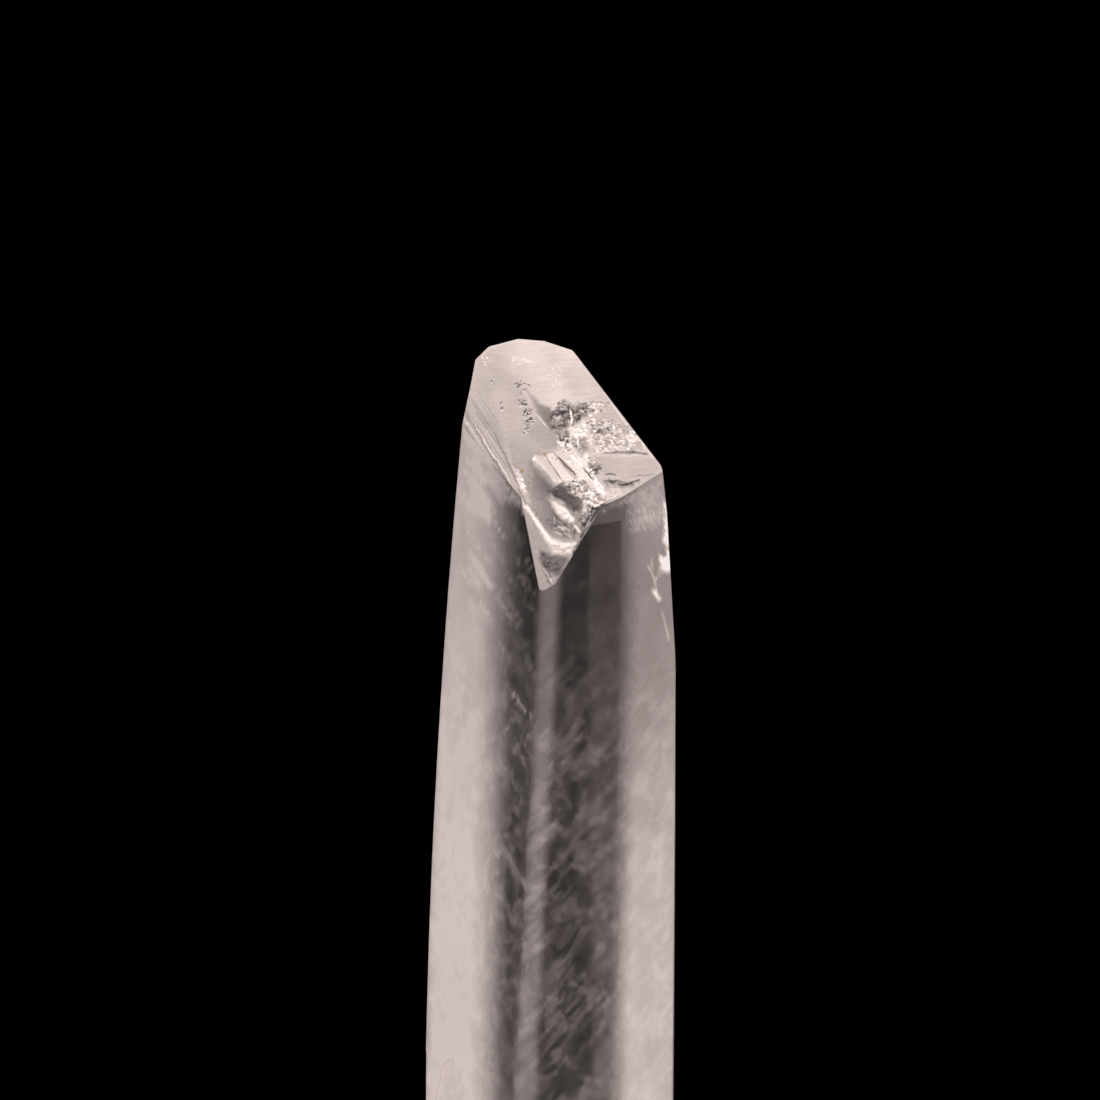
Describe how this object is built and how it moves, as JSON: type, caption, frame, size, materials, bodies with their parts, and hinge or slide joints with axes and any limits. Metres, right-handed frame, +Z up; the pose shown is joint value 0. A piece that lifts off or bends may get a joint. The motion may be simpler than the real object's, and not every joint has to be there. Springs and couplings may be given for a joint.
{
  "type": "nifontovite crystal",
  "caption": "clear to frosted tapering mineral prism with a slanted, partly broken end, standing on a flat cut base",
  "frame": {"origin": "middle of the flat cut base, under the middle of the crystal's width and depth", "axes": "+Z up along the crystal's long axis, -Y towards the narrow front edge face below the end's lowest point, +X to the right as seen from the front"},
  "size_m": [0.0102, 0.0082, 0.0441],
  "materials": {
    "crystal": "clear, colourless with a faint warm tint; frosted and sparkling on the slanted end and along breaks"
  },
  "bodies": {
    "root": {"crystal": "crystal"}
  },
  "joints": []
}
